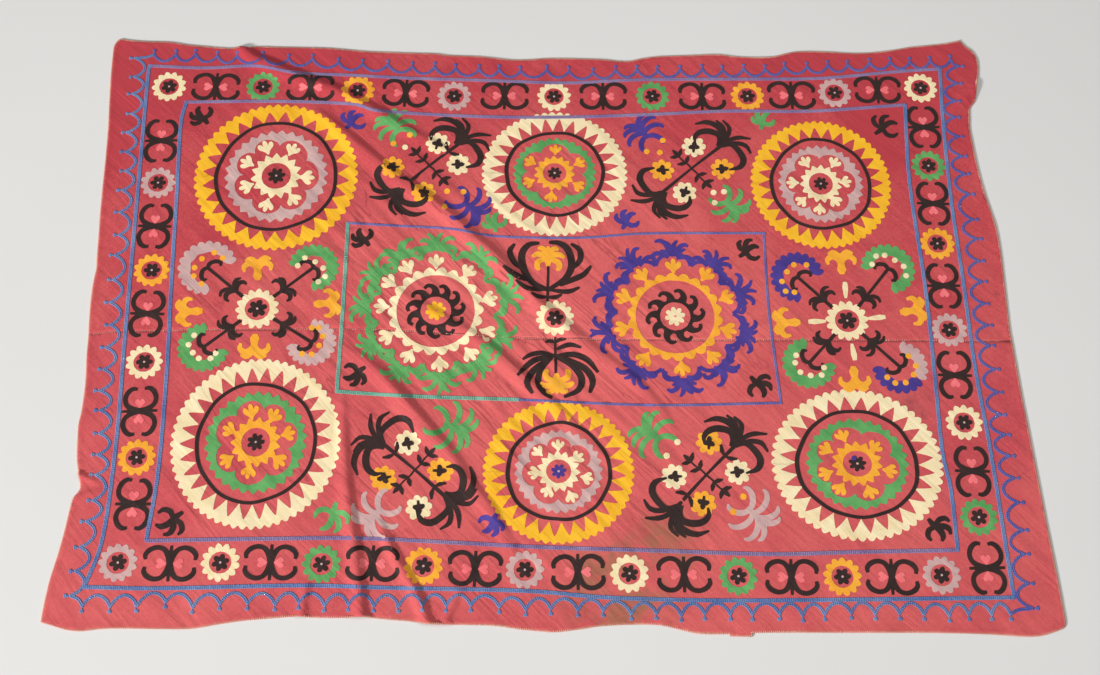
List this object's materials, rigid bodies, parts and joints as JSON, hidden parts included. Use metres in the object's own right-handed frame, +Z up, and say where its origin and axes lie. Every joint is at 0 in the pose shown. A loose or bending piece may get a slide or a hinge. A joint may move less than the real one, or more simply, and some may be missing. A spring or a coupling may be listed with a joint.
{
  "type": "embroidered wall cloth",
  "caption": "Large suzani wall cloth lying spread on a floor: lengths of thin cotton joined by a seam, with an uneven outline and soft diagonal folds.",
  "frame": {"origin": "centre of the cloth's box, on the floor it lies on", "axes": "+X along the cloth's length, +Y across it towards its far edge, +Z up from the floor"},
  "size_m": [1.9092, 1.309, 0.0117],
  "materials": {
    "far_length": "woven cotton, slightly worn",
    "near_length": "woven cotton, slightly worn"
  },
  "bodies": {
    "root": {"far_length": "far_length", "near_length": "near_length"}
  },
  "joints": []
}
